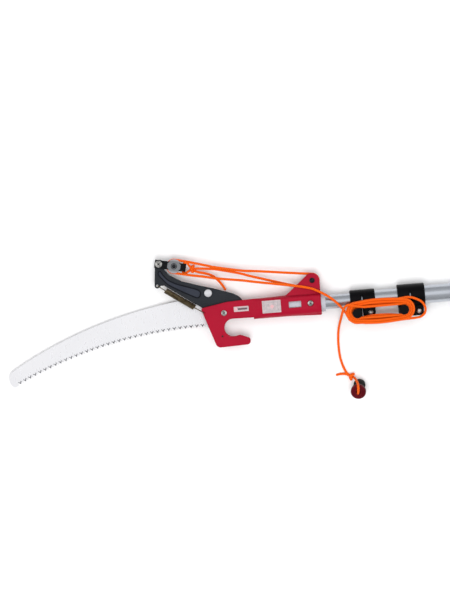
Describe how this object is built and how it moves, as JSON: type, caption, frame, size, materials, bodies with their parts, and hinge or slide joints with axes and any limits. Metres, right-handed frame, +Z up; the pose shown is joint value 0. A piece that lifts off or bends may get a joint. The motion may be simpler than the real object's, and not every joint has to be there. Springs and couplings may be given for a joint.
{
  "type": "telescoping pole saw",
  "caption": "Telescoping pole with a curved pruning saw and a rope-operated lopping hook, worked through a pulley block by a cord wound on the pole clamps.",
  "frame": {"origin": "middle of the box round the saw without its loose cord, on the surface that it lies on", "axes": "+X along the pole from the saw blade to the butt cap, +Y across the pole towards the lever arm and its sheaves, +Z up from the surface"},
  "size_m": [1.7419, 0.2433, 0.0526],
  "materials": {
    "red_plastic": "smooth glossy moulding",
    "black_plastic": "smooth",
    "arm_paint": "satin powder coat on pressed steel",
    "blade_steel": "ground and polished",
    "chrome": "bright plating",
    "dark_steel": "oiled black steel",
    "pole_aluminium": "drawn and anodised",
    "white_plastic": "smooth",
    "zinc_steel": "dull plated sheet",
    "spring_steel": "oiled spring wire",
    "cord": "braided synthetic cord",
    "handle_red": "moulded, satin",
    "handle_grey": "soft grip, matt",
    "label_film": null
  },
  "bodies": {
    "outer_section": {"outer_tube": "pole_aluminium", "clamp_2_collar": "black_plastic", "clamp_2_screw": "chrome", "clamp_2_nut": "chrome", "clamp_2_bolt": "dark_steel", "butt_cap": "black_plastic"},
    "clamp_2_knob_body": {"clamp_2_knob": "black_plastic"},
    "middle_section": {"middle_tube": "pole_aluminium", "middle_glide": "white_plastic", "clamp_1_collar": "black_plastic", "clamp_1_screw": "chrome", "clamp_1_nut": "chrome", "clamp_1_bolt": "dark_steel", "cord_hank": "cord", "cord_hank_loop": "cord", "cord_drop": "cord", "handle_knot": "cord", "cord_tail": "cord", "cord_handle_leg": "cord", "pull_handle_core": "handle_grey", "pull_handle_cap": "handle_red"},
    "clamp_1_knob_body": {"clamp_1_knob": "black_plastic"},
    "head": {"housing_top_shell": "red_plastic", "housing_bottom_shell": "red_plastic", "pole_adapter": "white_plastic", "inner_tube": "pole_aluminium", "inner_glide": "white_plastic", "saw_blade": "blade_steel", "pivot_bolt": "chrome", "pivot_nut": "chrome", "pivot_bush": "dark_steel", "blade_screw": "dark_steel", "rear_screw": "chrome", "sheave_axle": "dark_steel", "maker_label": "label_film", "guide_label": "label_film", "cord_rear_wrap": "cord", "cord_upper_strand": "cord", "cord_middle_strand": "cord", "cord_lower_strand": "cord", "cord_lead": "cord"},
    "cutter": {"lever_arm": "arm_paint", "lopping_blade": "blade_steel", "lever_rivet": "zinc_steel", "tip_bolt": "chrome", "tip_nut": "chrome", "tip_spacer_top": "dark_steel", "tip_spacer_bottom": "dark_steel"},
    "tip_block": {"block_strap": "arm_paint", "block_cheek_top": "zinc_steel", "block_cheek_bottom": "zinc_steel", "block_rivet": "dark_steel", "becket_knot": "cord", "cord_knot_tail": "cord", "cord_tip_wrap": "cord"},
    "tip_sheave_body": {"tip_sheave": "white_plastic"},
    "rear_sheave_body": {"rear_sheave": "white_plastic"},
    "spring_coils": {"return_spring": "spring_steel"},
    "spring_end": {"spring_hook": "spring_steel"}
  },
  "joints": [
    {"name": "middle_slide", "type": "slide", "parent": "outer_section", "child": "middle_section", "axis": [-1, 0, 0], "range_m": [0, 0.85], "deforming": ["cord_hank", "cord_hank_loop"]},
    {"name": "head_slide", "type": "slide", "parent": "middle_section", "child": "head", "axis": [-1, 0, 0], "range_m": [0, 0.85], "deforming": ["cord_lead"]},
    {"name": "cutter_pivot", "type": "hinge", "parent": "head", "child": "cutter", "pos_m": [-0.52675, -0.00062, 0.0186], "axis": [0, 0, -1], "range_deg": [0, 44], "stiffness_Nm_per_rad": 2.4, "springref_deg": -14.9, "deforming": ["spring_hook", "cord_upper_strand", "cord_middle_strand", "cord_lower_strand"]},
    {"name": "tip_block_swing", "type": "hinge", "parent": "cutter", "child": "tip_block", "pos_m": [-0.62295, 0.08408, 0.0186], "axis": [0, 0, -1], "range_deg": [-26, 0]},
    {"name": "tip_sheave_spin", "type": "hinge", "parent": "tip_block", "child": "tip_sheave_body", "pos_m": [-0.59923, 0.07878, 0.0186], "axis": [0, 0, 1], "continuous": true},
    {"name": "rear_sheave_spin", "type": "hinge", "parent": "head", "child": "rear_sheave_body", "pos_m": [-0.38505, 0.03948, 0.0186], "axis": [0, 0, 1], "continuous": true},
    {"name": "spring_swing", "type": "hinge", "parent": "head", "child": "spring_coils", "pos_m": [-0.55785, 0.00188, 0.0186], "axis": [0, 0, -1], "range_deg": [0, 52.2]},
    {"name": "spring_stretch", "type": "slide", "parent": "spring_coils", "child": "spring_end", "axis": [-0.8216, 0.5701, 0], "range_m": [0, 0.0197], "deforming": ["return_spring"]},
    {"name": "clamp_1_knob_turn", "type": "hinge", "parent": "middle_section", "child": "clamp_1_knob_body", "pos_m": [-0.31885, -0.01782, 0.0386], "axis": [0, 0, 1], "range_deg": [0, 180]},
    {"name": "clamp_2_knob_turn", "type": "hinge", "parent": "outer_section", "child": "clamp_2_knob_body", "pos_m": [-0.24565, -0.01782, 0.0386], "axis": [0, 0, 1], "range_deg": [0, 180]}
  ],
  "couplings": [
    {"joint": "tip_block_swing", "follows": "cutter_pivot", "ratio": -0.56},
    {"joint": "tip_sheave_spin", "follows": "cutter_pivot", "ratio": 16.8},
    {"joint": "rear_sheave_spin", "follows": "cutter_pivot", "ratio": 8.4},
    {"joint": "spring_swing", "follows": "cutter_pivot", "ratio": 1.1792},
    {"joint": "spring_stretch", "follows": "cutter_pivot", "m_per_rad": 0.02533}
  ]
}
